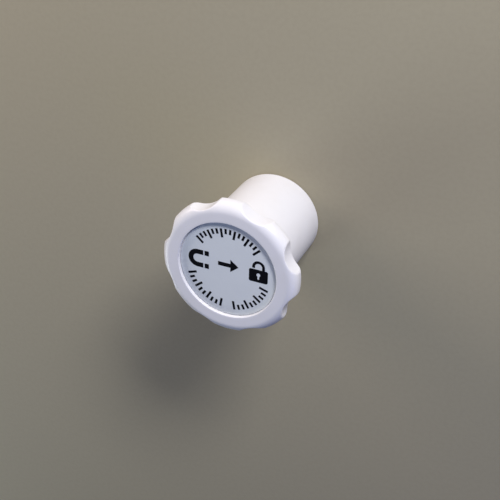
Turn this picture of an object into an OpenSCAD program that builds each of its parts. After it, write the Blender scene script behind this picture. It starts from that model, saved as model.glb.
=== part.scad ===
// Magnetic key of a cabinet lock: a scalloped knob head on a barrel that holds a stack of ring magnets.
// The key stands on its working face, at z = 0, and the head is on top.

/* [Overall] */
// Height from the working face to the front of the head
overall_h = 38.1; // [34:0.1:46]

/* [Knob head] */
// Diameter over the lobes
head_d = 44; // [43:0.1:52]
// Thickness from the front ring to the back of the rim
head_t = 5.6; // [5.2:0.1:8]
// Radius of the front edge
front_round = 3.2; // [1.5:0.1:3.5]
// Radius of the back edge
back_round = 1.6; // [0.4:0.1:1.6]
// Number of finger flutes round the rim
flute_count = 8; // [6:1:10]
// Depth of a flute below the lobes
flute_depth = 2; // [1:0.1:2.4]
// Radius of the hollow of a flute
flute_r = 9; // [5:0.1:11]
// Radius that softens both edges of a flute
flute_edge_r = 0.5; // [0.2:0.1:1.4]
// Thickness of the rim's skin round the core pockets
rim_wall = 2.2; // [1.5:0.1:2.6]
// Thickness of the rib behind each flute
rib_t = 2; // [1:0.1:4]
// Thickness of the floor below the label
web_t = 2.2; // [1.6:0.1:2.6]

/* [Label] */
// Diameter of the label recess
recess_d = 31.8; // [26:0.1:34]
// Depth of the label's face below the front ring
label_drop = 1; // [0.2:0.1:1.2]
// Thickness of the label
label_t = 0.4; // [0.2:0.05:0.6]
// Gap between the label's edge and the wall of the recess
label_gap = 0.3; // [0.1:0.05:0.6]
// Radius of the edge at the mouth of the recess
mouth_round = 0.2; // [0.1:0.05:0.6]

/* [Barrel] */
// Thickness of the barrel's wall
barrel_wall = 2.4; // [1.8:0.1:3]
// Thickness of the closed working end
face_t = 1.6; // [0.8:0.1:2.4]
// Radius of the edge round the working face
face_round = 0.8; // [0.3:0.1:1.5]
// Width of the shoulder that seats on the back of the head
shoulder_w = 1; // [0.4:0.1:1.3]
// Width of the plain band between the barrel and the core pockets
seat_band = 1.7; // [0.8:0.1:2.2]
// Width of each lug that keeps the head from turning on the barrel
lug_w = 3; // [1.5:0.1:5]

/* [Magnet stack] */
// Outside diameter of the ring magnets
magnet_d = 25; // [22:0.1:27]
// Diameter of the hole in a magnet
magnet_bore_d = 8; // [7:0.1:9.6]
// Thickness of one ring magnet
magnet_t = 8; // [5:0.1:8.8]
// Thickness of the steel ring on the stack
plate_t = 2.5; // [1:0.1:3.5]
// Thickness of the fibre ring under the head
packing_t = 1; // [0.5:0.1:2]
// Width of the fibre ring
packing_w = 4; // [2.5:0.1:5]
// Clearance of the stack in the barrel and on the post
stack_gap = 0.2; // [0.1:0.05:0.5]

/* [Fastening] */
// Diameter of the screw's shank
screw_d = 3.1; // [2.6:0.1:3.6]
// Diameter of the screw's flat head
screw_head_d = 6.4; // [5.6:0.1:7.2]
// Length of the screw
screw_l = 13; // [10:0.5:16]
// Diameter of the boss under the head's floor
boss_d = 9; // [8.4:0.1:10]
// Height of the boss
boss_h = 1.2; // [0.6:0.1:1.8]
// Wall of the ring that holds the stack down
spigot_wall = 2; // [1.2:0.1:2.4]

/* [Hidden] */
$fn = 128;

// How far a cut runs past the face that it opens
overrun = 1;
// Clearance between moulded pieces that slide together
fit_gap = 0.1;
// Clearance round the screw's shank in the head
screw_gap = 0.2;
// Clearance of the screw's thread in the post and of its head in the countersink
screw_seat_gap = 0.05;
// Depth of the screw's head below the floor of the recess
screw_sink = 0.2;
// Clearance over the post and the neck, which lets the screw draw the shoulder home
draw_gap = 0.2;
// Room under the screw's point
pilot_room = 1;
// Height of the screw's point
screw_point_h = 3;
// Span, width and depth of the screw's cross recess
cross_span = 3.2;
cross_w = 0.9;
cross_depth = 1.1;
// Number of magnets in the stack
magnet_count = 3;
// Bevel on the edges of the magnets
magnet_bevel = 0.4;
// Bevel on the edges of the steel ring
plate_bevel = 0.2;
// Bevel that leads the spigot, the neck and the post into place
lead_bevel = 0.3;
// Number of lugs round the neck, and the plain rim that hides them outside
lug_count = 4;
lug_cover = 0.3;

head_r = head_d / 2;
back_z = overall_h - head_t;
recess_r = recess_d / 2;
recess_z = overall_h - label_drop - label_t;
web_z = recess_z - web_t;

magnet_r = magnet_d / 2;
magnet_bore_r = magnet_bore_d / 2;
plate_z = face_t + magnet_count * magnet_t;
packing_z = plate_z + plate_t;
packing_top_z = packing_z + packing_t;

bore_r = magnet_r + stack_gap;
barrel_r = bore_r + barrel_wall;
post_r = magnet_bore_r - stack_gap;
neck_r = barrel_r - shoulder_w;
socket_r = neck_r + fit_gap;
lug_r = barrel_r - lug_cover;
lug_root_r = (bore_r + neck_r) / 2;

spigot_r = bore_r - fit_gap;
boss_z = web_z - boss_h;
post_top_z = boss_z - draw_gap;
screw_top_z = recess_z - screw_sink;
screw_r = screw_d / 2;
screw_head_r = screw_head_d / 2;
screw_cone_h = screw_head_r - screw_r;
screw_tip_z = screw_top_z - screw_l;
pilot_r = screw_r + screw_seat_gap;
pilot_z = screw_tip_z - pilot_room;

flute_pitch = 360 / flute_count;
flute_axis_r = head_r - flute_depth + flute_r;
edge_axis_r = head_r - flute_edge_r;
edge_angle = acos((edge_axis_r ^ 2 + flute_axis_r ^ 2 - (flute_r + flute_edge_r) ^ 2)
                  / (2 * edge_axis_r * flute_axis_r));
pocket_r = head_r - rim_wall;
pocket_inner_r = barrel_r + seat_band;
pocket_top_z = overall_h - rim_wall;

// Half section of a disc from z0 to z1, with a round lower edge
module round_edge_section(r, z0, z1, low_round) {
    translate([0, z0]) square([r - low_round, z1 - z0]);
    translate([0, z0 + low_round]) square([r, z1 - z0 - low_round]);
    translate([r - low_round, z0 + low_round]) circle(low_round);
}

// Half section of the rim's disc, with its front and back edges round
module rim_section() {
    round_edge_section(head_r, back_z, overall_h - front_round, back_round);
    translate([0, back_z + back_round]) square([head_r - front_round, head_t - back_round]);
    translate([head_r - front_round, overall_h - front_round]) circle(front_round);
}

// Half section of a ring with square edges
module ring_section(inner_r, outer_r, z0, z1) {
    translate([inner_r, z0]) square([outer_r - inner_r, z1 - z0]);
}

// Half section of a ring with all its edges bevelled
module bevelled_section(inner_r, outer_r, z0, z1, bevel) {
    polygon([
        [inner_r + bevel, z0],
        [outer_r - bevel, z0],
        [outer_r, z0 + bevel],
        [outer_r, z1 - bevel],
        [outer_r - bevel, z1],
        [inner_r + bevel, z1],
        [inner_r, z1 - bevel],
        [inner_r, z0 + bevel],
    ]);
}

// Outline of the lugs round the neck, grown by a clearance
module lug_outline(gap) {
    intersection() {
        circle(lug_r + gap);
        for (i = [0 : lug_count - 1]) rotate(i * 360 / lug_count)
            translate([lug_root_r, -lug_w / 2 - gap]) square([barrel_r - lug_root_r, lug_w + 2 * gap]);
    }
}

// Half section of the label recess, open at the front, with a round mouth
module recess_section() {
    ring_section(0, recess_r, recess_z, overall_h + overrun);
    translate([recess_r, overall_h - mouth_round]) difference() {
        square([mouth_round, mouth_round + overrun]);
        translate([mouth_round, 0]) circle(mouth_round);
    }
}

// Half section of the screw's hole through the head, with its countersink
module screw_hole_section() {
    hole_r = screw_r + screw_gap;
    mouth_r = screw_head_r + screw_seat_gap;
    ring_section(0, hole_r, boss_z - overrun, recess_z);
    polygon([
        [0, screw_top_z - mouth_r],
        [mouth_r, screw_top_z],
        [mouth_r, recess_z + overrun],
        [0, recess_z + overrun],
    ]);
}

// Half section of the head: rim, recess, barrel socket, spigot and screw boss
module head_section() {
    difference() {
        union() {
            difference() {
                rim_section();
                recess_section();
                ring_section(0, socket_r, back_z - overrun, web_z);
            }
            bevelled_section(spigot_r - spigot_wall, spigot_r,
                             packing_top_z, web_z + lead_bevel, lead_bevel);
            ring_section(0, boss_d / 2, boss_z, web_z);
        }
        screw_hole_section();
    }
}

// Outline that one flute takes from the rim: its hollow, and the corner beyond each rounded edge
module flute_outline() {
    translate([flute_axis_r, 0]) circle(flute_r);
    for (side = [0, 1]) mirror([0, side]) difference() {
        polygon([
            [edge_axis_r * cos(edge_angle), edge_axis_r * sin(edge_angle)],
            [flute_axis_r * cos(edge_angle), flute_axis_r * sin(edge_angle)],
            [flute_axis_r, 0],
        ]);
        rotate(edge_angle) translate([edge_axis_r, 0]) circle(flute_edge_r);
    }
}

// Outline of the core pockets behind the lobes, with a rib behind each flute
module pocket_outline() {
    difference() {
        circle(pocket_r);
        circle(pocket_inner_r);
        for (i = [0 : flute_count - 1]) rotate((i + 0.5) * flute_pitch) {
            translate([flute_axis_r, 0]) circle(flute_r + rim_wall);
            translate([0, -rib_t / 2]) square([head_r, rib_t]);
        }
    }
}

module knob_head() {
    color("white") difference() {
        rotate_extrude() head_section();
        for (i = [0 : flute_count - 1])
            rotate((i + 0.5) * flute_pitch)
                translate([0, 0, back_z - overrun])
                    linear_extrude(head_t + 2 * overrun) flute_outline();
        translate([0, 0, back_z - overrun])
            linear_extrude(pocket_top_z - back_z + overrun) pocket_outline();
        translate([0, 0, back_z - overrun])
            linear_extrude(web_z - back_z + overrun) lug_outline(fit_gap);
    }
}

module label_disc() {
    color("lightsteelblue")
        translate([0, 0, recess_z]) cylinder(h = label_t, r = recess_r - label_gap);
}

module barrel() {
    neck_top_z = web_z - draw_gap;
    color("white") union() {
        rotate_extrude() difference() {
            union() {
                difference() {
                    round_edge_section(barrel_r, 0, back_z, face_round);
                    ring_section(0, bore_r, face_t, back_z + overrun);
                }
                bevelled_section(bore_r, neck_r, back_z - lead_bevel, neck_top_z, lead_bevel);
                bevelled_section(0, post_r, face_t - lead_bevel, post_top_z, lead_bevel);
            }
            ring_section(0, pilot_r, pilot_z, post_top_z + overrun);
        }
        translate([0, 0, back_z - overrun])
            linear_extrude(neck_top_z - lead_bevel - back_z + overrun) lug_outline(0);
    }
}

// Ring of the stack, on the post and clear of the barrel's wall
module stack_ring(z, thickness, bevel) {
    rotate_extrude() bevelled_section(magnet_bore_r, magnet_r, z, z + thickness, bevel);
}

module ring_magnet(place) {
    color("dimgray") stack_ring(face_t + (place - 1) * magnet_t, magnet_t, magnet_bevel);
}

module flux_plate() {
    color("silver") stack_ring(plate_z, plate_t, plate_bevel);
}

module packing_ring() {
    color("tan") rotate_extrude() ring_section(magnet_r - packing_w, magnet_r, packing_z, packing_top_z);
}

module clamp_screw() {
    color("gainsboro") difference() {
        rotate_extrude() polygon([
            [0, screw_tip_z],
            [screw_r, screw_tip_z + screw_point_h],
            [screw_r, screw_top_z - screw_cone_h],
            [screw_head_r, screw_top_z],
            [0, screw_top_z],
        ]);
        for (turn = [0, 90]) rotate(turn)
            translate([-cross_span / 2, -cross_w / 2, screw_top_z - cross_depth])
                cube([cross_span, cross_w, cross_depth + overrun]);
    }
}

knob_head();
label_disc();
barrel();
ring_magnet(1);  // magnet_1
ring_magnet(2);  // magnet_2
ring_magnet(3);  // magnet_3
flux_plate();
packing_ring();
clamp_screw();
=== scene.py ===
"""Looks of a magnetic cabinet key: its scalloped white head, printed label and magnet barrel."""

import logging
import math
from collections.abc import Sequence
from dataclasses import dataclass
from enum import Enum

import bmesh
import bpy
from mathutils import Matrix, Vector


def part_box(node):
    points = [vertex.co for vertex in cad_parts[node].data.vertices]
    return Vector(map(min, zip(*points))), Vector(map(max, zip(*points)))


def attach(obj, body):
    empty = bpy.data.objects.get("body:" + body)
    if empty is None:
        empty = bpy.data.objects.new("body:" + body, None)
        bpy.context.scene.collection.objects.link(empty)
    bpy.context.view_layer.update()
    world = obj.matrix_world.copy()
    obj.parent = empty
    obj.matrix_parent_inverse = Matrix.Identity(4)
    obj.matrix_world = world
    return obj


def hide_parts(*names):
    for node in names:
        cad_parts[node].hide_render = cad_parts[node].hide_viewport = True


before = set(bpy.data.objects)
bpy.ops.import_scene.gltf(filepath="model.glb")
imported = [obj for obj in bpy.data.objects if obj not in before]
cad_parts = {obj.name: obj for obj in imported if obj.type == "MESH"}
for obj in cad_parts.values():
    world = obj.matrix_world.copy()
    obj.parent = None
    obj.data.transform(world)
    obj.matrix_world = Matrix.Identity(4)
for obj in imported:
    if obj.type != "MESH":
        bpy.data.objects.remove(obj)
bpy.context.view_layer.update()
LOG = logging.getLogger("magnetic_key")

MM = 0.001
BODY = "root"
SHARP_ANGLE = math.radians(38)
WELD_GAP = 1e-8
QUARTERS = (0.25, 0.5, 0.75)
THIRDS = (0.33, 0.67)
SIGN_LINE = 1.6 * MM

Colour = tuple[float, float, float]
Stretch = tuple[float, float, float]
Loop = list[tuple[float, float]]


class Value:
    """A number that varies over a surface: sums on it add Math nodes to its shader."""

    def __init__(self, shader: "Shader", socket: bpy.types.NodeSocket) -> None:
        """Keeps the shader and the output socket that carries the number."""
        self.shader = shader
        self.socket = socket

    def math(self, operation: str, first: "Number", second: "Number" = 0.0) -> "Value":
        """Adds one Math node and returns its result."""
        made = self.shader.node("ShaderNodeMath", {"operation": operation}, {0: first, 1: second})
        return Value(self.shader, made.outputs[0])

    def __add__(self, other: "Number") -> "Value":
        """Returns the sum."""
        return self.math("ADD", self, other)

    def __sub__(self, other: "Number") -> "Value":
        """Returns the difference."""
        return self.math("SUBTRACT", self, other)

    def __rsub__(self, other: "Number") -> "Value":
        """Returns the difference from a plain number."""
        return self.math("SUBTRACT", other, self)

    def __mul__(self, other: "Number") -> "Value":
        """Returns the product."""
        return self.math("MULTIPLY", self, other)

    __radd__ = __add__
    __rmul__ = __mul__

    def root(self) -> "Value":
        """Returns the square root."""
        return self.math("SQRT", self)

    def ease(self, low: float, high: float) -> "Value":
        """Eases from 0 at one value to 1 at another.

        Args:
            low: the value that gives 0.
            high: the value that gives 1.

        Returns:
            The eased share, held between 0 and 1.
        """
        made = self.shader.node(
            "ShaderNodeMapRange",
            {"interpolation_type": "SMOOTHSTEP"},
            {"Value": self, "From Min": low, "From Max": high},
        )
        return Value(self.shader, made.outputs["Result"])


Number = Value | float
Input = Value | bpy.types.NodeSocket | float | Sequence[float]


@dataclass(frozen=True)
class Pattern:
    """A soft random pattern.

    The grain is in metres, and the detail is the number of finer layers over it. Eased, the pattern
    is 0 up to its low level and 1 from its high one. The stretch makes it finer along each axis.
    """

    grain: float
    detail: float
    low: float = 0.0
    high: float = 1.0
    stretch: Stretch = (1.0, 1.0, 1.0)


class Shader:
    """The node tree of one material, with the key's own frame as its coordinates."""

    def __init__(self, name: str) -> None:
        """Makes an empty material.

        Args:
            name: the material's name.
        """
        self.material = bpy.data.materials.new(name)
        self.material.use_nodes = True
        self.tree = self.material.node_tree
        self.tree.nodes.clear()
        self.place = self.node("ShaderNodeTexCoord").outputs["Object"]

    def node(
        self,
        kind: str,
        settings: dict[str, object] | None = None,
        inputs: dict[str | int, Input] | None = None,
    ) -> bpy.types.Node:
        """Makes any node.

        Args:
            kind: Blender's type of the node.
            settings: the node's own settings, such as a Math node's operation, set first.
            inputs: a value or a link for each socket, by its name or number.

        Returns:
            The new node.
        """
        made = self.tree.nodes.new(kind)
        for key, value in (settings or {}).items():
            setattr(made, key, value)
        for key, value in (inputs or {}).items():
            if isinstance(value, Value):
                value = value.socket
            if isinstance(value, bpy.types.NodeSocket):
                self.tree.links.new(value, made.inputs[key])
            else:
                made.inputs[key].default_value = value
        return made

    def noise(self, pattern: Pattern) -> Value:
        """Makes a soft random pattern.

        Args:
            pattern: its grain, detail and stretch.

        Returns:
            The pattern as it comes, about 0.5 on average.
        """
        scaled = self.node(
            "ShaderNodeVectorMath", {"operation": "MULTIPLY"}, {0: self.place, 1: pattern.stretch}
        )
        made = self.node(
            "ShaderNodeTexNoise",
            None,
            {"Vector": scaled.outputs[0], "Scale": 1.0 / pattern.grain, "Detail": pattern.detail},
        )
        return Value(self, made.outputs["Fac"])

    def eased(self, pattern: Pattern) -> Value:
        """Returns a pattern eased between its two levels."""
        return self.noise(pattern).ease(pattern.low, pattern.high)

    def specks(self, spacing: float, size: float, core: float = 0.5) -> Value:
        """Scatters small round specks.

        Args:
            spacing: the mean distance between specks, in metres.
            size: a speck's radius, in metres.
            core: the share of the radius where a speck is full.

        Returns:
            1 on a speck and 0 elsewhere, with a soft edge.
        """
        made = self.node(
            "ShaderNodeTexVoronoi", None, {"Vector": self.place, "Scale": 1.0 / spacing}
        )
        far = Value(self, made.outputs["Distance"])
        return 1.0 - far.ease(core * size / spacing, size / spacing)

    def axes(self) -> tuple[Value, Value, Value]:
        """Returns the three coordinates, in metres."""
        made = self.node("ShaderNodeSeparateXYZ", None, {0: self.place})
        return tuple(Value(self, socket) for socket in made.outputs)

    def radius(self) -> Value:
        """Returns the distance from the key's axis, in metres."""
        x, y, _ = self.axes()
        return (x * x + y * y).root()

    def mix(self, share: Number, low: Input, high: Input) -> bpy.types.NodeSocket:
        """Mixes two colours.

        Args:
            share: 0 gives the first colour and 1 the second.
            low: the first colour, plain or a link.
            high: the second colour, plain or a link.

        Returns:
            The mixed colour's socket.
        """
        made = self.node(
            "ShaderNodeMix", {"data_type": "RGBA"}, {0: share, 6: opaque(low), 7: opaque(high)}
        )
        return made.outputs[2]

    def close(
        self, inputs: dict[str | int, Input], bump: Value, depth: float
    ) -> bpy.types.Material:
        """Ends the tree in one shader.

        Args:
            inputs: the shader's sockets.
            bump: the height pattern of the surface.
            depth: the height of that pattern, in metres.

        Returns:
            The finished material.
        """
        relief = self.node("ShaderNodeBump", None, {"Height": bump, "Distance": depth})
        inputs = inputs | {"Normal": relief.outputs[0]}
        surface = self.node("ShaderNodeBsdfPrincipled", None, inputs)
        self.node("ShaderNodeOutputMaterial", None, {"Surface": surface.outputs[0]})
        return self.material


def opaque(colour: Input) -> Input:
    """Gives a plain colour its alpha, and leaves a link as it is."""
    return (*colour, 1.0) if isinstance(colour, tuple) else colour


@dataclass(frozen=True)
class WhitePlastic:
    """Smooth moulded white plastic that fingers have polished along the rim."""

    colour: Colour = (0.83, 0.82, 0.825)
    shade: Colour = (0.79, 0.775, 0.765)
    roughness: float = 0.36
    index: float = 1.5
    cloud: Pattern = Pattern(7 * MM, 2.0, 0.35, 0.75)
    cloud_tone: float = 0.6
    cloud_dulling: float = 0.06
    wear: Pattern = Pattern(1.4 * MM, 4.0, 0.62, 0.8)
    wear_patch: Pattern = Pattern(9 * MM, 1.0, 0.5, 0.7)
    wear_tone: float = 0.4
    wear_dulling: float = 0.08
    dust: Colour = (0.42, 0.39, 0.35)
    dust_spacing: float = 3.1 * MM
    dust_size: float = 0.07 * MM
    dust_patch: Pattern = Pattern(11 * MM, 0.0, 0.45, 0.6)
    dust_tone: float = 0.55
    scuff: Colour = (0.6, 0.59, 0.575)
    scuff_lines: Pattern = Pattern(3 * MM, 4.0, 0.6, 0.72, (1.0, 14.0, 1.0))
    scuff_full: float = 0.2 * MM
    scuff_top: float = 0.7 * MM
    scuff_tone: float = 0.5
    scuff_dulling: float = 0.15
    scuff_cut: float = 2.0
    polish_start: float = 19.5 * MM
    polish_end: float = 22 * MM
    polish_gain: float = 0.07
    gate: float = 1.2 * MM
    gate_width: float = 0.15 * MM
    gate_rise: float = 12.0
    grain: Pattern = Pattern(0.22 * MM, 2.0)
    grain_depth: float = 0.004 * MM

    def material(self) -> bpy.types.Material:
        """Mixes the clouding, wear, specks and scuffs of the plastic.

        Returns:
            The finished material.
        """
        shader = Shader("white_plastic")
        cloud = shader.eased(self.cloud)
        worn = shader.eased(self.wear) * shader.eased(self.wear_patch)
        dust = shader.specks(self.dust_spacing, self.dust_size) * shader.eased(self.dust_patch)
        shade = cloud * self.cloud_tone + worn * self.wear_tone
        tone = shader.mix(shade, self.colour, self.shade)
        tone = shader.mix(dust * self.dust_tone, tone, self.dust)
        radius = shader.radius()
        working_face = 1.0 - shader.axes()[2].ease(self.scuff_full, self.scuff_top)
        scuffs = shader.eased(self.scuff_lines) * working_face
        tone = shader.mix(scuffs * self.scuff_tone, tone, self.scuff)
        polish = radius.ease(self.polish_start, self.polish_end)
        rough = self.roughness + self.cloud_dulling * cloud + self.wear_dulling * worn
        rough = rough + self.scuff_dulling * scuffs - self.polish_gain * polish
        inner = radius.ease(self.gate - self.gate_width, self.gate)
        outer = radius.ease(self.gate, self.gate + self.gate_width)
        gate_mark = (inner - outer) * working_face
        height = shader.noise(self.grain) + self.gate_rise * gate_mark - self.scuff_cut * scuffs
        inputs = {"Base Color": tone, "Roughness": rough, "IOR": self.index}
        return shader.close(inputs, height, self.grain_depth)


@dataclass(frozen=True)
class LabelFilm:
    """Satin pale grey film with a faint tooth."""

    colour: Colour = (0.728, 0.765, 0.766)
    shade: Colour = (0.694, 0.73, 0.736)
    roughness: float = 0.44
    cloud: Pattern = Pattern(5 * MM, 3.0, 0.3, 0.7)
    cloud_tone: float = 0.6
    cloud_dulling: float = 0.1
    tooth: Pattern = Pattern(0.12 * MM, 2.0, 0.3, 0.7)
    tooth_tone: float = 0.4
    tooth_depth: float = 0.003 * MM

    def material(self) -> bpy.types.Material:
        """Mixes the clouding and the tooth of the film.

        Returns:
            The finished material.
        """
        shader = Shader("label_film")
        tooth = shader.noise(self.tooth)
        cloud = shader.eased(self.cloud)
        shade = self.cloud_tone * cloud
        shade = shade + self.tooth_tone * tooth.ease(self.tooth.low, self.tooth.high)
        inputs = {
            "Base Color": shader.mix(shade, self.colour, self.shade),
            "Roughness": self.roughness + self.cloud_dulling * cloud,
        }
        return shader.close(inputs, tooth, self.tooth_depth)


@dataclass(frozen=True)
class PrintInk:
    """Black screen ink that is a little thinner in places."""

    colour: Colour = (0.003, 0.003, 0.005)
    thin: Colour = (0.007, 0.007, 0.01)
    roughness: float = 0.5
    sheen: float = 0.05
    thin_places: Pattern = Pattern(0.35 * MM, 3.0, 0.45, 0.75)
    thin_dulling: float = 0.12
    tooth: Pattern = Pattern(0.09 * MM, 1.0)
    tooth_depth: float = 0.002 * MM

    def material(self) -> bpy.types.Material:
        """Mixes the full and the thin places of the ink.

        Returns:
            The finished material.
        """
        shader = Shader("label_ink")
        thin = shader.eased(self.thin_places)
        inputs = {
            "Base Color": shader.mix(thin, self.colour, self.thin),
            "Roughness": self.roughness + self.thin_dulling * thin,
            "Specular IOR Level": self.sheen,
        }
        return shader.close(inputs, shader.noise(self.tooth), self.tooth_depth)


@dataclass(frozen=True)
class GrainyStock:
    """A stock material: a base colour, a second colour in grains, and a relief."""

    name: str
    colour: Colour
    grain_colour: Colour
    roughness: float
    grain: float
    relief: float
    metallic: float = 0.0
    stretch: Stretch = (1.0, 1.0, 1.0)
    dulling: float = 0.15
    detail: float = 4.0
    low: float = 0.35
    high: float = 0.7

    def material(self) -> bpy.types.Material:
        """Mixes the base colour and its grains.

        Returns:
            The finished material.
        """
        shader = Shader(self.name)
        grain = shader.noise(Pattern(self.grain, self.detail, stretch=self.stretch))
        share = grain.ease(self.low, self.high)
        inputs = {
            "Base Color": shader.mix(share, self.colour, self.grain_colour),
            "Roughness": self.roughness + self.dulling * share,
            "Metallic": self.metallic,
        }
        return shader.close(inputs, grain, self.relief)


class Stock(Enum):
    """The stock materials of the inner pieces, the screw and the floor."""

    # name, colour, colour of the grains, roughness, size of a grain, relief
    FERRITE = GrainyStock(
        "ferrite", (0.05, 0.05, 0.055), (0.1, 0.1, 0.105), 0.55, 0.3 * MM, 0.01 * MM
    )
    STEEL = GrainyStock(
        "mild_steel", (0.5, 0.5, 0.49), (0.6, 0.6, 0.6), 0.3, 2 * MM, 0.003 * MM,
        metallic=1.0, stretch=(1.0, 24.0, 1.0),
    )
    FIBRE = GrainyStock(
        "fibre_board", (0.42, 0.31, 0.2), (0.56, 0.45, 0.32), 0.8, 0.5 * MM, 0.03 * MM,
        stretch=(1.0, 3.0, 1.0),
    )
    ZINC = GrainyStock(
        "zinc_steel", (0.62, 0.63, 0.66), (0.72, 0.72, 0.7), 0.28, 0.4 * MM, 0.002 * MM,
        metallic=1.0,
    )
    FLOOR = GrainyStock(
        "pale_floor", (0.358, 0.322, 0.223), (0.348, 0.313, 0.217), 0.76, 1.5 * MM, 0.0,
        dulling=0.03,
    )


def shown(mesh: bpy.types.Mesh, material: bpy.types.Material) -> bpy.types.Object:
    """Puts a mesh in the scene.

    Args:
        mesh: the mesh, in the key's frame and with the piece's name.
        material: its finish.

    Returns:
        The new object.
    """
    mesh.materials.append(material)
    piece = bpy.data.objects.new(mesh.name, mesh)
    bpy.context.scene.collection.objects.link(piece)
    return piece


def settle(piece: bpy.types.Object, node: str | None = None) -> bpy.types.Object:
    """Ties a piece to the key.

    Args:
        piece: the piece.
        node: the solid that it stands for, if there is one.

    Returns:
        The same piece.
    """
    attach(piece, BODY)
    if node:
        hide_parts(node)
    return piece


def ring_mesh(
    name: str, rings: Sequence[Sequence[Vector]], ends_meet: bool = False
) -> bpy.types.Mesh:
    """Skins a row of closed rings.

    Args:
        name: the mesh's name.
        rings: the rings in order, each with as many points; a ring at the axis becomes one point.
        ends_meet: whether the last ring joins the first.

    Returns:
        A closed mesh with smooth faces and its creases kept sharp.
    """
    count = len(rings[0])
    points = [point for ring in rings for point in ring]
    bands = len(rings) if ends_meet else len(rings) - 1
    faces = []
    for band in range(bands):
        here = band * count
        there = (band + 1) % len(rings) * count
        for i in range(count):
            j = (i + 1) % count
            faces.append((here + i, here + j, there + j, there + i))
    mesh = bpy.data.meshes.new(name)
    mesh.from_pydata(points, [], faces)
    weld(mesh)
    return mesh


def weld(mesh: bpy.types.Mesh) -> None:
    """Joins points that lie together, drops emptied faces, and turns all faces outwards.

    Args:
        mesh: the mesh, which is changed in place.
    """
    work = bmesh.new()
    work.from_mesh(mesh)
    bmesh.ops.remove_doubles(work, verts=work.verts, dist=WELD_GAP)
    bmesh.ops.recalc_face_normals(work, faces=work.faces)
    for face in work.faces:
        face.smooth = True
    work.to_mesh(mesh)
    work.free()
    mesh.set_sharp_from_angle(angle=SHARP_ANGLE)


def directions(steps: int) -> list[float]:
    """Returns evenly spaced angles round the axis."""
    return [math.tau * i / steps for i in range(steps)]


def around(radius: float, angle: float, height: float) -> Vector:
    """Returns the point at a radius, an angle and a height round the axis."""
    return Vector((radius * math.cos(angle), radius * math.sin(angle), height))


def round_ring(radius: float, height: float, steps: int) -> list[Vector]:
    """Returns the points of a level circle round the axis."""
    return [around(radius, angle, height) for angle in directions(steps)]


def arc(centre: tuple[float, float], radius: float, start: float, end: float, steps: int) -> Loop:
    """Returns points along an arc.

    Args:
        centre: the arc's centre.
        radius: its radius.
        start: the angle that it starts at, in degrees.
        end: the angle that it ends at, in degrees.
        steps: the number of steps.

    Returns:
        The points, both ends included.
    """
    angles = (math.radians(start + (end - start) * i / steps) for i in range(steps + 1))
    return [(centre[0] + radius * math.cos(a), centre[1] + radius * math.sin(a)) for a in angles]


def box_loop(x: float, y: float, width: float, height: float) -> Loop:
    """Returns an upright rectangle from its lower left corner."""
    return [(x, y), (x + width, y), (x + width, y + height), (x, y + height)]


class Wall(Enum):
    """What the radius of a station on a section follows."""

    ROUND = "round"
    RIM = "rim"
    POCKET = "pocket"
    LUGS = "lugs"


@dataclass(frozen=True)
class Station:
    """One place on the section of a moulding.

    A RIM station is cut back by the flutes. A POCKET station's radius is an offset from the outer
    wall of the pockets. A LUGS station stands out where the lugs are. A sunk station lies in the
    back of the rim wherever a rib stands.
    """

    radius: float
    height: float
    wall: Wall = Wall.ROUND
    sunk: bool = False


def stations(places: Loop, wall: Wall = Wall.ROUND, sunk: bool = False) -> list[Station]:
    """Returns the stations at places on a section that share one kind of wall."""
    return [Station(radius, height, wall, sunk) for radius, height in places]


@dataclass(frozen=True)
class Lugs:
    """The lugs on the barrel's neck that keep the head from turning, and the notches for them."""

    count: int = 4
    width: float = 3 * MM
    reach: float = 0.7 * MM
    slack: float = 0.2 * MM

    def step_out(self, angle: float, radius: float, slack: float) -> float:
        """Finds how far a wall stands out.

        Args:
            angle: the direction from the axis.
            radius: the plain wall's radius.
            slack: what is added to each side of a lug's width.

        Returns:
            The lugs' reach within a lug's width, and 0 elsewhere.
        """
        pitch = math.tau / self.count
        across = radius * math.sin((angle + pitch / 2) % pitch - pitch / 2)
        return self.reach if abs(across) < self.width / 2 + slack else 0.0


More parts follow.
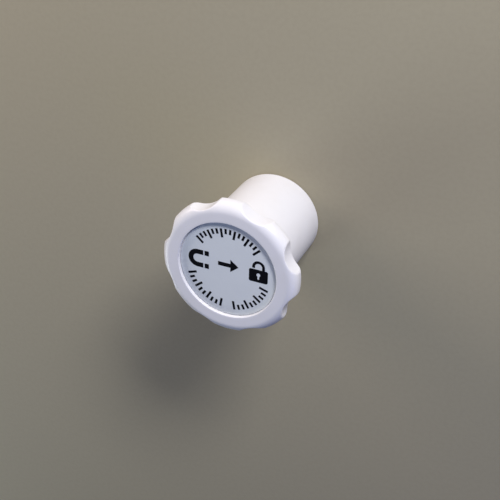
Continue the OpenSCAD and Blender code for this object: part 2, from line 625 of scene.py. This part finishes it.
@dataclass
class KnobHead:
    """The scalloped head: rim, recess, core pockets, barrel socket, spigot and screw hole."""

    thickness: float = 5.6 * MM
    front_round: float = 3.2 * MM
    back_round: float = 1.6 * MM
    flutes: int = 8
    flute_depth: float = 2 * MM
    flute_radius: float = 9 * MM
    edge_blend: float = 0.35 * MM
    flute_back_round: float = 0.4 * MM
    recess_radius: float = 15.9 * MM
    recess_depth: float = 1.4 * MM
    mouth_round: float = 0.2 * MM
    web: float = 2.2 * MM
    rim_wall: float = 2.2 * MM
    rib: float = 2 * MM
    seat_band: float = 1.7 * MM
    pocket_lip: float = 0.2 * MM
    lip_bulge: float = 0.3
    draft: float = 0.12 * MM
    shoulder: float = 1 * MM
    fit_gap: float = 0.1 * MM
    spigot_radius: float = 12.6 * MM
    spigot_wall: float = 2 * MM
    lead: float = 0.3 * MM
    boss_radius: float = 4.5 * MM
    boss_height: float = 1.2 * MM
    screw_hole: float = 1.75 * MM
    screw_mouth: float = 3.25 * MM
    screw_sink: float = 0.2 * MM
    steps_per_lobe: int = 60
    mouth_steps: int = 6
    front_steps: int = 20
    back_steps: int = 12
    lugs: Lugs = Lugs()

    def __post_init__(self) -> None:
        """Takes the head's overall size from its solid."""
        low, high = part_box("knob_head")
        self.radius = high.x
        self.front = high.z
        self.spigot_end = low.z
        self.back = self.front - self.thickness
        self.recess_floor = self.front - self.recess_depth
        self.web_under = self.recess_floor - self.web
        self.barrel_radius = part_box("barrel")[1].x

    def off_flute(self, angle: float) -> float:
        """Returns the angle from the nearest flute's middle."""
        pitch = math.tau / self.flutes
        return (angle % pitch) - pitch / 2

    def hollow(self, angle: float, inset: float) -> float:
        """Finds where a flute's hollow lies.

        Args:
            angle: the direction from the axis.
            inset: how far inside the hollow's wall the answer lies.

        Returns:
            The distance from the axis, or a large one where no flute lies in that direction.
        """
        axis = self.radius - self.flute_depth + self.flute_radius
        reach = self.flute_radius + inset
        turn = self.off_flute(angle)
        room = reach**2 - (axis * math.sin(turn)) ** 2
        return axis * math.cos(turn) - math.sqrt(room) if room > 0 else 2 * axis

    def blended(self, first: float, second: float) -> float:
        """Returns the lesser of two radii, with the corner between them softened."""
        share = min(max(0.5 + 0.5 * (second - first) / self.edge_blend, 0.0), 1.0)
        return second + (first - second) * share - self.edge_blend * share * (1.0 - share)

    def back_easing(self, height: float) -> float:
        """Finds how far a flute's wall draws in where it meets the back of the rim.

        Args:
            height: the height on the wall.

        Returns:
            The distance, 0 above the rounded edge.
        """
        inside = self.flute_back_round - (height - self.back)
        if inside <= 0:
            return 0.0
        return self.flute_back_round - math.sqrt(max(self.flute_back_round**2 - inside**2, 0.0))

    def pocket_share(self, angle: float) -> float:
        """Tells a rib from a pocket.

        Args:
            angle: the direction from the axis.

        Returns:
            0 on a rib, 1 in a pocket, and a share on the drafted wall between them.
        """
        along = abs(self.off_flute(angle)) * (self.radius - self.rim_wall)
        share = min(max((along - self.rib / 2) / (2 * self.draft), 0.0), 1.0)
        return share * share * (3.0 - 2.0 * share)

    def point(self, station: Station, angle: float) -> Vector:
        """Finds where a station lies in one direction.

        Args:
            station: the place on the section.
            angle: the direction from the axis.

        Returns:
            The point, in the key's frame.
        """
        radius = station.radius
        if station.wall is Wall.RIM:
            fluted = self.hollow(angle, 0.0) - self.back_easing(station.height)
            radius = self.blended(radius, fluted)
        elif station.wall is Wall.POCKET:
            radius += self.blended(self.radius - self.rim_wall, self.hollow(angle, self.rim_wall))
        elif station.wall is Wall.LUGS:
            radius += self.lugs.step_out(angle, radius, self.lugs.slack)
        height = station.height
        if station.sunk:
            height = self.back + (height - self.back) * self.pocket_share(angle)
        return around(radius, angle, height)

    def front_stations(self) -> list[Station]:
        """Draws the front of the section.

        Returns:
            The stations from the screw hole over the recess to the rim's front edge.
        """
        floor, hole, wide = self.recess_floor, self.screw_hole, self.screw_mouth
        screw_top = floor - self.screw_sink
        mouth = (self.recess_radius + self.mouth_round, self.front - self.mouth_round)
        edge = (self.radius - self.front_round, self.front - self.front_round)
        corner = self.mouth_round / 2
        inner = [(hole, self.web_under - self.boss_height), (hole, screw_top - (wide - hole))]
        inner += [(wide, screw_top), (wide, floor)]
        inner += [(self.recess_radius - corner, floor), (self.recess_radius, floor + corner)]
        inner += arc(mouth, self.mouth_round, 180, 90, self.mouth_steps)
        inner += [(mouth[0] + (edge[0] - mouth[0]) * share, self.front) for share in QUARTERS]
        rim = arc(edge, self.front_round, 90, 0, self.front_steps)
        return stations(inner) + stations(rim, Wall.RIM)

    def side_stations(self) -> list[Station]:
        """Draws the side of the section.

        Returns:
            The stations down the rim's side and round its back edge.
        """
        low = self.back + self.back_round
        high = self.front - self.front_round
        side = [(self.radius, high + (low - high) * share) for share in THIRDS]
        edge = arc((self.radius - self.back_round, low), self.back_round, 0, -90, self.back_steps)
        return stations(side + edge, Wall.RIM)

    def pocket_stations(self) -> list[Station]:
        """Draws the back of the section.

        Returns:
            The stations through the core pockets in the back of the rim.
        """
        lip, draft = self.pocket_lip, self.draft
        bulge = self.lip_bulge * lip
        back, top = self.back, self.front - self.rim_wall
        band = self.barrel_radius + self.seat_band
        outside = [(lip, back), (bulge, back + bulge), (0.0, back + lip)]
        outside += [(-draft, top - lip), (-draft - lip, top)]
        inside = [(draft + lip, top), (draft, top - lip), (0.0, back + lip)]
        inside += [(-bulge, back + bulge), (-lip, back)]
        inside = [(band + shift, height) for shift, height in inside]
        return stations(outside, Wall.POCKET, True) + stations(inside, Wall.ROUND, True)

    def under_stations(self) -> list[Station]:
        """Draws the underside of the section.

        Returns:
            The stations of the barrel's socket, the spigot and the screw boss.
        """
        socket = self.barrel_radius - self.shoulder + self.fit_gap
        outer, inner = self.spigot_radius, self.spigot_radius - self.spigot_wall
        web, end, lead = self.web_under, self.spigot_end, self.lead
        notched = [(socket, self.back), (socket, web)]
        places = [(outer, web), (outer, end + lead), (outer - lead, end)]
        places += [(inner + lead, end), (inner, end + lead), (inner, web)]
        places += [(self.boss_radius, web), (self.boss_radius, web - self.boss_height)]
        return stations(notched, Wall.LUGS) + stations(places)

    def build(self, plastic: bpy.types.Material) -> bpy.types.Object:
        """Makes the head and puts it in the solid's place.

        Args:
            plastic: the moulded plastic.

        Returns:
            The head.
        """
        section = self.front_stations() + self.side_stations()
        section += self.pocket_stations() + self.under_stations()
        angles = directions(self.flutes * self.steps_per_lobe)
        rings = [[self.point(station, angle) for angle in angles] for station in section]
        head = shown(ring_mesh("knob_head_moulding", rings, ends_meet=True), plastic)
        return settle(head, "knob_head")


@dataclass
class Barrel:
    """The moulded cup that holds the magnets: working face, wall, shoulder, neck and screw post."""

    face: float = 1.6 * MM
    face_round: float = 0.8 * MM
    wall: float = 2.4 * MM
    shoulder: float = KnobHead.shoulder
    seam: float = 0.12 * MM
    post_radius: float = 3.8 * MM
    post_gap: float = 1.2 * MM
    pilot_radius: float = 1.6 * MM
    pilot_room: float = 1 * MM
    lead: float = 0.3 * MM
    head_thickness: float = KnobHead.thickness
    steps: int = 480
    face_steps: int = 8
    lugs: Lugs = Lugs()

    def __post_init__(self) -> None:
        """Takes the barrel's overall size from its solid."""
        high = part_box("barrel")[1]
        self.radius = high.x
        self.neck_top = high.z
        self.pilot_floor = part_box("clamp_screw")[0].z - self.pilot_room
        self.shoulder_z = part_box("knob_head")[1].z - self.head_thickness

    def outside(self) -> list[Station]:
        """Draws the outside of the section.

        Returns:
            The stations from the middle of the working face to the edge of the shoulder.
        """
        edge = (self.radius - self.face_round, self.face_round)
        places = [(0.0, 0.0)] + [(edge[0] * share, 0.0) for share in QUARTERS]
        places += arc(edge, self.face_round, -90, 0, self.face_steps)
        places += [(self.radius, self.shoulder_z * share) for share in QUARTERS]
        places.append((self.radius, self.shoulder_z - self.seam))
        places.append((self.radius - self.seam, self.shoulder_z))
        return stations(places)

    def inside(self) -> list[Station]:
        """Draws the inside of the section.

        Returns:
            The stations from the neck down the bore and over the post to the floor of its hole.
        """
        bore, neck = self.radius - self.wall, self.radius - self.shoulder
        top, lead = self.neck_top, self.lead
        post, post_top = self.post_radius, self.neck_top - self.post_gap
        lugged = [(neck, self.shoulder_z), (neck, top - lead)]
        places = [(neck, top - lead), (neck - lead, top), (bore + lead, top), (bore, top - lead)]
        places += [(bore, self.face), (post, self.face)]
        places += [(post, post_top - lead), (post - lead, post_top)]
        places += [(self.pilot_radius, post_top), (self.pilot_radius, self.pilot_floor)]
        places.append((0.0, self.pilot_floor))
        return stations(lugged, Wall.LUGS) + stations(places)

    def point(self, station: Station, angle: float) -> Vector:
        """Finds where a station lies in one direction.

        Args:
            station: the place on the section.
            angle: the direction from the axis.

        Returns:
            The point, in the key's frame.
        """
        radius = station.radius
        if station.wall is Wall.LUGS:
            radius += self.lugs.step_out(angle, radius, -self.lugs.slack)
        return around(radius, angle, station.height)

    def build(self, plastic: bpy.types.Material) -> bpy.types.Object:
        """Makes the barrel and puts it in the solid's place.

        Args:
            plastic: the moulded plastic.

        Returns:
            The barrel.
        """
        section = self.outside() + self.inside()
        angles = directions(self.steps)
        rings = [[self.point(station, angle) for angle in angles] for station in section]
        barrel = shown(ring_mesh("barrel_moulding", rings), plastic)
        return settle(barrel, "barrel")


class Mark(Enum):
    """The marks printed on the label."""

    MAGNET = "label_magnet"
    ARROW = "label_arrow"
    PADLOCK = "label_padlock"
    UPPER_SCALE = "label_upper_scale"
    LOWER_SCALE = "label_lower_scale"


@dataclass(frozen=True)
class MagnetSign:
    """A horseshoe magnet that opens to the right, with a gap before its pole tips."""

    x: float = -9.9 * MM
    y: float = SIGN_LINE
    outer: float = 3 * MM
    inner: float = 1.4 * MM
    leg: float = 1.9 * MM
    gap: float = 0.45 * MM
    tip: float = 1.4 * MM
    outer_steps: int = 28
    inner_steps: int = 20

    def loops(self) -> list[Loop]:
        """Draws the magnet.

        Returns:
            The outlines of its bow and of its two pole tips.
        """
        y, end = self.y, self.x + self.leg
        bow = arc((self.x, y), self.outer, 90, 270, self.outer_steps)
        bow += [(end, y - self.outer), (end, y - self.inner)]
        bow += arc((self.x, y), self.inner, 270, 90, self.inner_steps)
        bow += [(end, y + self.inner), (end, y + self.outer)]
        start, height = end + self.gap, self.outer - self.inner
        sides = (self.inner, -self.outer)
        return [bow] + [box_loop(start, y + side, self.tip, height) for side in sides]


@dataclass(frozen=True)
class ArrowSign:
    """A plain arrow that points from the magnet to the padlock."""

    y: float = SIGN_LINE
    back: float = -3.1 * MM
    neck: float = 0.9 * MM
    point: float = 3.5 * MM
    half: float = 0.65 * MM
    wing: float = 2.1 * MM

    def loops(self) -> list[Loop]:
        """Draws the arrow.

        Returns:
            Its outline.
        """
        upper = [(self.back, self.half), (self.neck, self.half)]
        upper += [(self.neck, self.wing), (self.point, 0.0)]
        lower = [(along, -across) for along, across in reversed(upper[:-1])]
        return [[(along, across + self.y) for along, across in upper + lower]]


@dataclass(frozen=True)
class PadlockSign:
    """A padlock with a keyhole and an open bow."""

    x: float = 9.9 * MM
    floor: float = SIGN_LINE - 3.3 * MM
    width: float = 6 * MM
    height: float = 4.3 * MM
    corner: float = 0.6 * MM
    eye: float = 0.62 * MM
    eye_rise: float = 2.5 * MM
    slot_half: float = 0.3 * MM
    slot_drop: float = 1.5 * MM
    slot_angle: float = 60.0
    bow_outer: float = 2 * MM
    bow_inner: float = 1.15 * MM
    bow_rise: float = 0.9 * MM
    bow_lift: float = 0.4 * MM
    corner_steps: int = 6
    eye_steps: int = 20
    outer_steps: int = 24
    inner_steps: int = 18

    def body(self) -> Loop:
        """Draws the body.

        Returns:
            Its outline, with round corners.
        """
        corner, left = self.corner, self.x - self.width / 2
        inner = (self.width - 2 * corner, self.height - 2 * corner)
        middles = box_loop(left + corner, self.floor + corner, *inner)
        outline = []
        for middle, start in zip(middles, (180, 270, 0, 90), strict=True):
            outline += arc(middle, corner, start, start + 90, self.corner_steps)
        return outline

    def keyhole(self) -> Loop:
        """Draws the keyhole.

        Returns:
            The outline of its eye and its slot.
        """
        x, y, angle = self.x, self.floor + self.eye_rise, self.slot_angle
        outline = arc((x, y), self.eye, -angle, 180 + angle, self.eye_steps)
        end = y - self.slot_drop
        return outline + [(x - self.slot_half, end), (x + self.slot_half, end)]

    def loops(self) -> list[Loop]:
        """Draws the padlock.

        Returns:
            The outlines of its body, of the keyhole in it and of its bow.
        """
        x, top = self.x, self.floor + self.height
        middle, open_end = (x, top + self.bow_rise), top + self.bow_lift
        bow = [(x - self.bow_outer, open_end)]
        bow += arc(middle, self.bow_outer, 180, 0, self.outer_steps)
        bow += [(x + self.bow_outer, top), (x + self.bow_inner, top)]
        bow += arc(middle, self.bow_inner, 0, 180, self.inner_steps)
        bow.append((x - self.bow_inner, open_end))
        return [self.body(), self.keyhole(), bow]


@dataclass(frozen=True)
class TickScale:
    """A row of ticks along the edge of the label, from one direction in degrees to another."""

    start: float
    end: float
    count: int
    outer: float = 13.7 * MM
    short: float = 1.7 * MM
    long: float = 2.9 * MM
    half: float = 0.36 * MM
    long_every: int = 3

    def loops(self) -> list[Loop]:
        """Draws the ticks.

        Returns:
            The outline of each tick.
        """
        loops = []
        ways = arc((0.0, 0.0), 1.0, self.start, self.end, self.count - 1)
        for i, (cos, sin) in enumerate(ways):
            inner = self.outer - (self.short if i % self.long_every else self.long)
            corners = [(inner, -self.half), (self.outer, -self.half)]
            corners += [(self.outer, self.half), (inner, self.half)]
            loops.append([(r * cos - s * sin, r * sin + s * cos) for r, s in corners])
        return loops


@dataclass
class Label:
    """The label film in the recess and the plain marks that are printed on it."""

    edge_round: float = 0.08 * MM
    edge_steps: int = 4
    ink: float = 0.03 * MM
    sink: float = 0.01 * MM
    steps: int = 256
    magnet: MagnetSign = MagnetSign()
    arrow: ArrowSign = ArrowSign()
    padlock: PadlockSign = PadlockSign()
    upper: TickScale = TickScale(42, 138, 16)
    lower_left: TickScale = TickScale(198, 260, 10)
    lower_right: TickScale = TickScale(280, 342, 10)

    def __post_init__(self) -> None:
        """Takes the label's size from its solid."""
        low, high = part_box("label_disc")
        self.radius = high.x
        self.under = low.z
        self.top = high.z

    def film(self, material: bpy.types.Material) -> bpy.types.Object:
        """Makes the film and puts it in the solid's place.

        Args:
            material: the label's own finish.

        Returns:
            The film.
        """
        edge = (self.radius - self.edge_round, self.top - self.edge_round)
        places = [(0.0, self.under), (self.radius, self.under)]
        places += arc(edge, self.edge_round, 0, 90, self.edge_steps)
        places += [(self.radius * share, self.top) for share in (*reversed(QUARTERS), 0.0)]
        rings = [round_ring(radius, height, self.steps) for radius, height in places]
        film = shown(ring_mesh("label_film", rings), material)
        return settle(film, "label_disc")

    def mark(
        self, mark: Mark, loops: Sequence[Loop], material: bpy.types.Material
    ) -> bpy.types.Object:
        """Prints one mark on the film.

        Args:
            mark: which mark it is.
            loops: its outlines, where a loop inside another is a hole.
            material: the ink.

        Returns:
            The mark.
        """
        curve = bpy.data.curves.new(mark.value, "CURVE")
        curve.dimensions = "2D"
        curve.fill_mode = "BOTH"
        curve.extrude = (self.ink + self.sink) / 2
        for loop in loops:
            spline = curve.splines.new("POLY")
            spline.points.add(len(loop) - 1)
            for point, (x, y) in zip(spline.points, loop, strict=True):
                point.co = (x, y, 0.0, 1.0)
            spline.use_cyclic_u = True
        outline = bpy.data.objects.new(mark.value, curve)
        mesh = bpy.data.meshes.new_from_object(outline)
        mesh.transform(Matrix.Translation((0.0, 0.0, self.top + (self.ink - self.sink) / 2)))
        bpy.data.objects.remove(outline)
        bpy.data.curves.remove(curve)
        weld(mesh)
        mesh.name = mark.value
        return settle(shown(mesh, material))

    def build(self, film: bpy.types.Material, ink: bpy.types.Material) -> list[bpy.types.Object]:
        """Makes the film and its marks.

        Args:
            film: the label's own finish.
            ink: the finish of the marks.

        Returns:
            The film and the marks.
        """
        marks = {
            Mark.MAGNET: self.magnet.loops(),
            Mark.ARROW: self.arrow.loops(),
            Mark.PADLOCK: self.padlock.loops(),
            Mark.UPPER_SCALE: self.upper.loops(),
            Mark.LOWER_SCALE: self.lower_left.loops() + self.lower_right.loops(),
        }
        return [self.film(film)] + [self.mark(mark, loops, ink) for mark, loops in marks.items()]


@dataclass
class MagnetStack:
    """The rings in the barrel, which keep their solids and get their own finishes."""

    magnets: tuple[str, ...] = ("magnet_1", "magnet_2", "magnet_3")

    def dress(self) -> list[bpy.types.Object]:
        """Gives each ring its finish.

        Returns:
            The rings.
        """
        finishes = {name: Stock.FERRITE for name in self.magnets}
        finishes |= {"flux_plate": Stock.STEEL, "packing_ring": Stock.FIBRE}
        made = {stock: stock.value.material() for stock in dict.fromkeys(finishes.values())}
        rings = [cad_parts[name] for name in finishes]
        for ring, stock in zip(rings, finishes.values(), strict=True):
            ring.data.materials.clear()
            ring.data.materials.append(made[stock])
        return rings


@dataclass
class ClampScrew:
    """The self-tapping screw under the label, with a cross recess and a coarse thread."""

    shank: float = 1.55 * MM
    core: float = 1.32 * MM
    crest: float = 1.76 * MM
    pitch: float = 1.3 * MM
    flank: float = 0.22
    plain: float = 3.6 * MM
    run_out: float = 0.9 * MM
    point: float = 3 * MM
    cross_span: float = 3.2 * MM
    cross_width: float = 0.9 * MM
    cross_depth: float = 1.1 * MM
    cross_taper: float = 0.5
    cross_turn: float = math.radians(17)
    cross_arms: int = 4
    steps: int = 60
    rows_per_turn: int = 18

    def __post_init__(self) -> None:
        """Takes the screw's length and its head from its solid."""
        low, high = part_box("clamp_screw")
        self.tip = low.z
        self.top = high.z
        self.head = high.x
        self.thread_top = self.top - self.plain

    def radius(self, height: float, angle: float) -> float:
        """Finds the radius of the threaded part at one place.

        Args:
            height: the place's height.
            angle: its direction from the axis.

        Returns:
            The core's radius, and more on the thread's ridge, which fades out at both ends.
        """
        taper = min(1.0, (height - self.tip) / self.point)
        fade = min(taper, (self.thread_top - height) / self.run_out)
        phase = (height / self.pitch - angle / math.tau) % 1.0
        ridge = max(0.0, 1.0 - abs(phase - 0.5) / self.flank)
        return self.core * taper + (self.crest - self.core) * fade * ridge

    def thread(self) -> list[list[Vector]]:
        """Winds the thread.

        Returns:
            The rings of the threaded part, from the point up.
        """
        length, angles = self.thread_top - self.tip, directions(self.steps)
        rows = math.ceil(length / self.pitch * self.rows_per_turn)
        rings = []
        for row in range(rows + 1):
            height = self.tip + length * row / rows
            rings.append([around(self.radius(height, a), a, height) for a in angles])
        return rings

    def cross(self, scale: float, height: float) -> list[Vector]:
        """Draws the cross recess at one height.

        Args:
            scale: the size of the cross there, as a share of its size at the top.
            height: the outline's height.

        Returns:
            The corners of its outline, three for each arm.
        """
        half, arm = scale * self.cross_width / 2, scale * self.cross_span / 2
        corners = [Vector((x, y, height)) for x, y in ((arm, -half), (arm, half), (half, half))]
        angles = (self.cross_turn + angle for angle in directions(self.cross_arms))
        turns = (Matrix.Rotation(angle, 3, "Z") for angle in angles)
        return [turn @ corner for turn in turns for corner in corners]

    def cut_cross(self, screw: bpy.types.Object) -> None:
        """Sinks the cross recess into the screw's head.

        Args:
            screw: the screw, whose mesh is replaced.
        """
        floor, over = self.top - self.cross_depth, self.top + self.cross_depth
        # The cutter has its full size at the head's top, and widens above it as it narrows below.
        wide = 2.0 - self.cross_taper
        shape = [(0.0, floor), (self.cross_taper, floor), (wide, over), (0.0, over)]
        rings = [self.cross(scale, height) for scale, height in shape]
        cutter = bpy.data.objects.new("cross_cutter", ring_mesh("cross_cutter", rings))
        bpy.context.scene.collection.objects.link(cutter)
        cut = screw.modifiers.new("cross_recess", "BOOLEAN")
        cut.operation = "DIFFERENCE"
        cut.solver = "EXACT"
        cut.object = cutter
        graph = bpy.context.evaluated_depsgraph_get()
        made = bpy.data.meshes.new_from_object(screw.evaluated_get(graph))
        screw.modifiers.clear()
        screw.data = made
        bpy.data.objects.remove(cutter)

    def build(self, zinc: bpy.types.Material) -> bpy.types.Object:
        """Makes the screw and puts it in the solid's place.

        Args:
            zinc: the plated steel.

        Returns:
            The screw.
        """
        seat = self.top - (self.head - self.shank)
        above = [(self.shank, self.thread_top), (self.shank, seat)]
        above += [(self.head, self.top), (0.0, self.top)]
        rings = self.thread() + [round_ring(radius, height, self.steps) for radius, height in above]
        screw = shown(ring_mesh("countersunk_screw", rings), zinc)
        self.cut_cross(screw)
        return settle(screw, "clamp_screw")


@dataclass(frozen=True)
class Lamp:
    """A soft light, placed by the direction in degrees that it shines from."""

    name: str
    azimuth: float
    elevation: float
    distance: float
    width: float
    height: float
    power: float
    colour: Colour

    def place(self, target: Vector) -> None:
        """Hangs the lamp and turns it to the key.

        Args:
            target: the place that it shines on.
        """
        light = bpy.data.lights.new(self.name, "AREA")
        light.shape = "RECTANGLE"
        light.size = self.width
        light.size_y = self.height
        light.energy = self.power
        light.color = self.colour
        turn, rise = math.radians(self.azimuth), math.radians(self.elevation)
        way = around(math.cos(rise), turn, math.sin(rise))
        lamp = bpy.data.objects.new(self.name, light)
        lamp.location = target + way * self.distance
        lamp.rotation_euler = way.to_track_quat("Z", "Y").to_euler()
        bpy.context.scene.collection.objects.link(lamp)


@dataclass
class PhotoCamera:
    """The camera of the photograph, found from the places of the head and the barrel in it."""

    frame_px: float = 500.0
    focal_px: float = 900.0
    head_x_px: float = 226.15
    head_y_px: float = 271.4
    distance: float = 265.4 * MM
    tilt: float = math.radians(37.8)
    lean: float = math.radians(228.8)
    label_turn: float = math.radians(33.4)
    sensor_mm: float = 36.0
    nearest: float = 1 * MM

    def place(self, head_front: Vector) -> None:
        """Sets the scene's camera.

        Args:
            head_front: the middle of the head's front, in the key's frame.
        """
        along = around(math.sin(self.tilt), self.lean, math.cos(self.tilt))
        level = Vector((-math.sin(self.lean), math.cos(self.lean), 0.0))
        right = level * math.cos(self.label_turn) + along.cross(level) * math.sin(self.label_turn)
        turn = Matrix((right, along.cross(right), along))
        middle = self.frame_px / 2
        seen = Vector((self.head_x_px - middle, middle - self.head_y_px, -self.focal_px))
        seen *= self.distance / self.focal_px
        lens = bpy.data.cameras.new("photo_camera")
        lens.sensor_width = self.sensor_mm
        lens.lens = self.sensor_mm * self.focal_px / self.frame_px
        lens.clip_start = self.nearest
        camera = bpy.data.objects.new("photo_camera", lens)
        camera.matrix_world = Matrix.Translation(head_front - turn @ seen) @ turn.to_4x4()
        bpy.context.scene.collection.objects.link(camera)
        bpy.context.scene.camera = camera


@dataclass
class Studio:
    """The pale floor, the soft lights and the camera round the key."""

    floor_half: float = 3.0
    floor_drop: float = 0.01 * MM
    sky: Colour = (0.7, 0.8, 1.0)
    sky_strength: float = 0.11
    # name, azimuth, elevation, distance, width, height, power, colour
    lamps: tuple[Lamp, ...] = (
        Lamp("key_lamp", 61.0, 23.0, 0.55, 0.19, 0.11, 3.22, (0.94, 0.935, 1.0)),
        Lamp("side_lamp", 150.0, 14.0, 0.4, 0.2, 0.12, 0.64, (1.0, 0.855, 0.79)),
        Lamp("low_lamp", 215.0, 14.0, 0.7, 0.3, 0.2, 1.55, (0.89, 0.965, 1.0)),
        Lamp("top_lamp", 90.0, 78.0, 0.8, 0.6, 0.6, 0.42, (0.12, 0.26, 1.0)),
        Lamp("fill_lamp", 330.0, 30.0, 0.5, 0.3, 0.3, 0.2, (0.02, 0.08, 1.0)),
    )

    def floor(self) -> None:
        """Lays the floor that the key stands on."""
        side = 2 * self.floor_half
        outline = box_loop(-self.floor_half, -self.floor_half, side, side)
        corners = [(x, y, -self.floor_drop) for x, y in outline]
        mesh = bpy.data.meshes.new("floor")
        mesh.from_pydata(corners, [], [range(len(corners))])
        floor = shown(mesh, Stock.FLOOR.value.material())

    def build(self) -> None:
        """Sets the whole stage."""
        scene = bpy.context.scene
        scene.view_settings.view_transform = "Standard"
        world = bpy.data.worlds.new("studio_sky")
        world.use_nodes = True
        background = world.node_tree.nodes["Background"]
        background.inputs["Color"].default_value = (*self.sky, 1.0)
        background.inputs["Strength"].default_value = self.sky_strength
        scene.world = world
        self.floor()
        front = Vector((0.0, 0.0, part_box("knob_head")[1].z))
        for lamp in self.lamps:
            lamp.place(front / 2)
        PhotoCamera().place(front)


def main() -> None:
    """Builds the key's looks in order, and logs each piece's faces and finish."""
    logging.basicConfig(level=logging.INFO, format="%(name)s: %(message)s")
    Studio().build()
    plastic = WhitePlastic().material()
    pieces = [KnobHead().build(plastic), Barrel().build(plastic)]
    pieces += Label().build(LabelFilm().material(), PrintInk().material())
    pieces += MagnetStack().dress()
    pieces.append(ClampScrew().build(Stock.ZINC.value.material()))
    for piece in pieces:
        faces, finish = len(piece.data.polygons), piece.active_material.name
        LOG.info("%s: %d faces, finished as %s", piece.name, faces, finish)


if __name__ == "__main__":
    main()
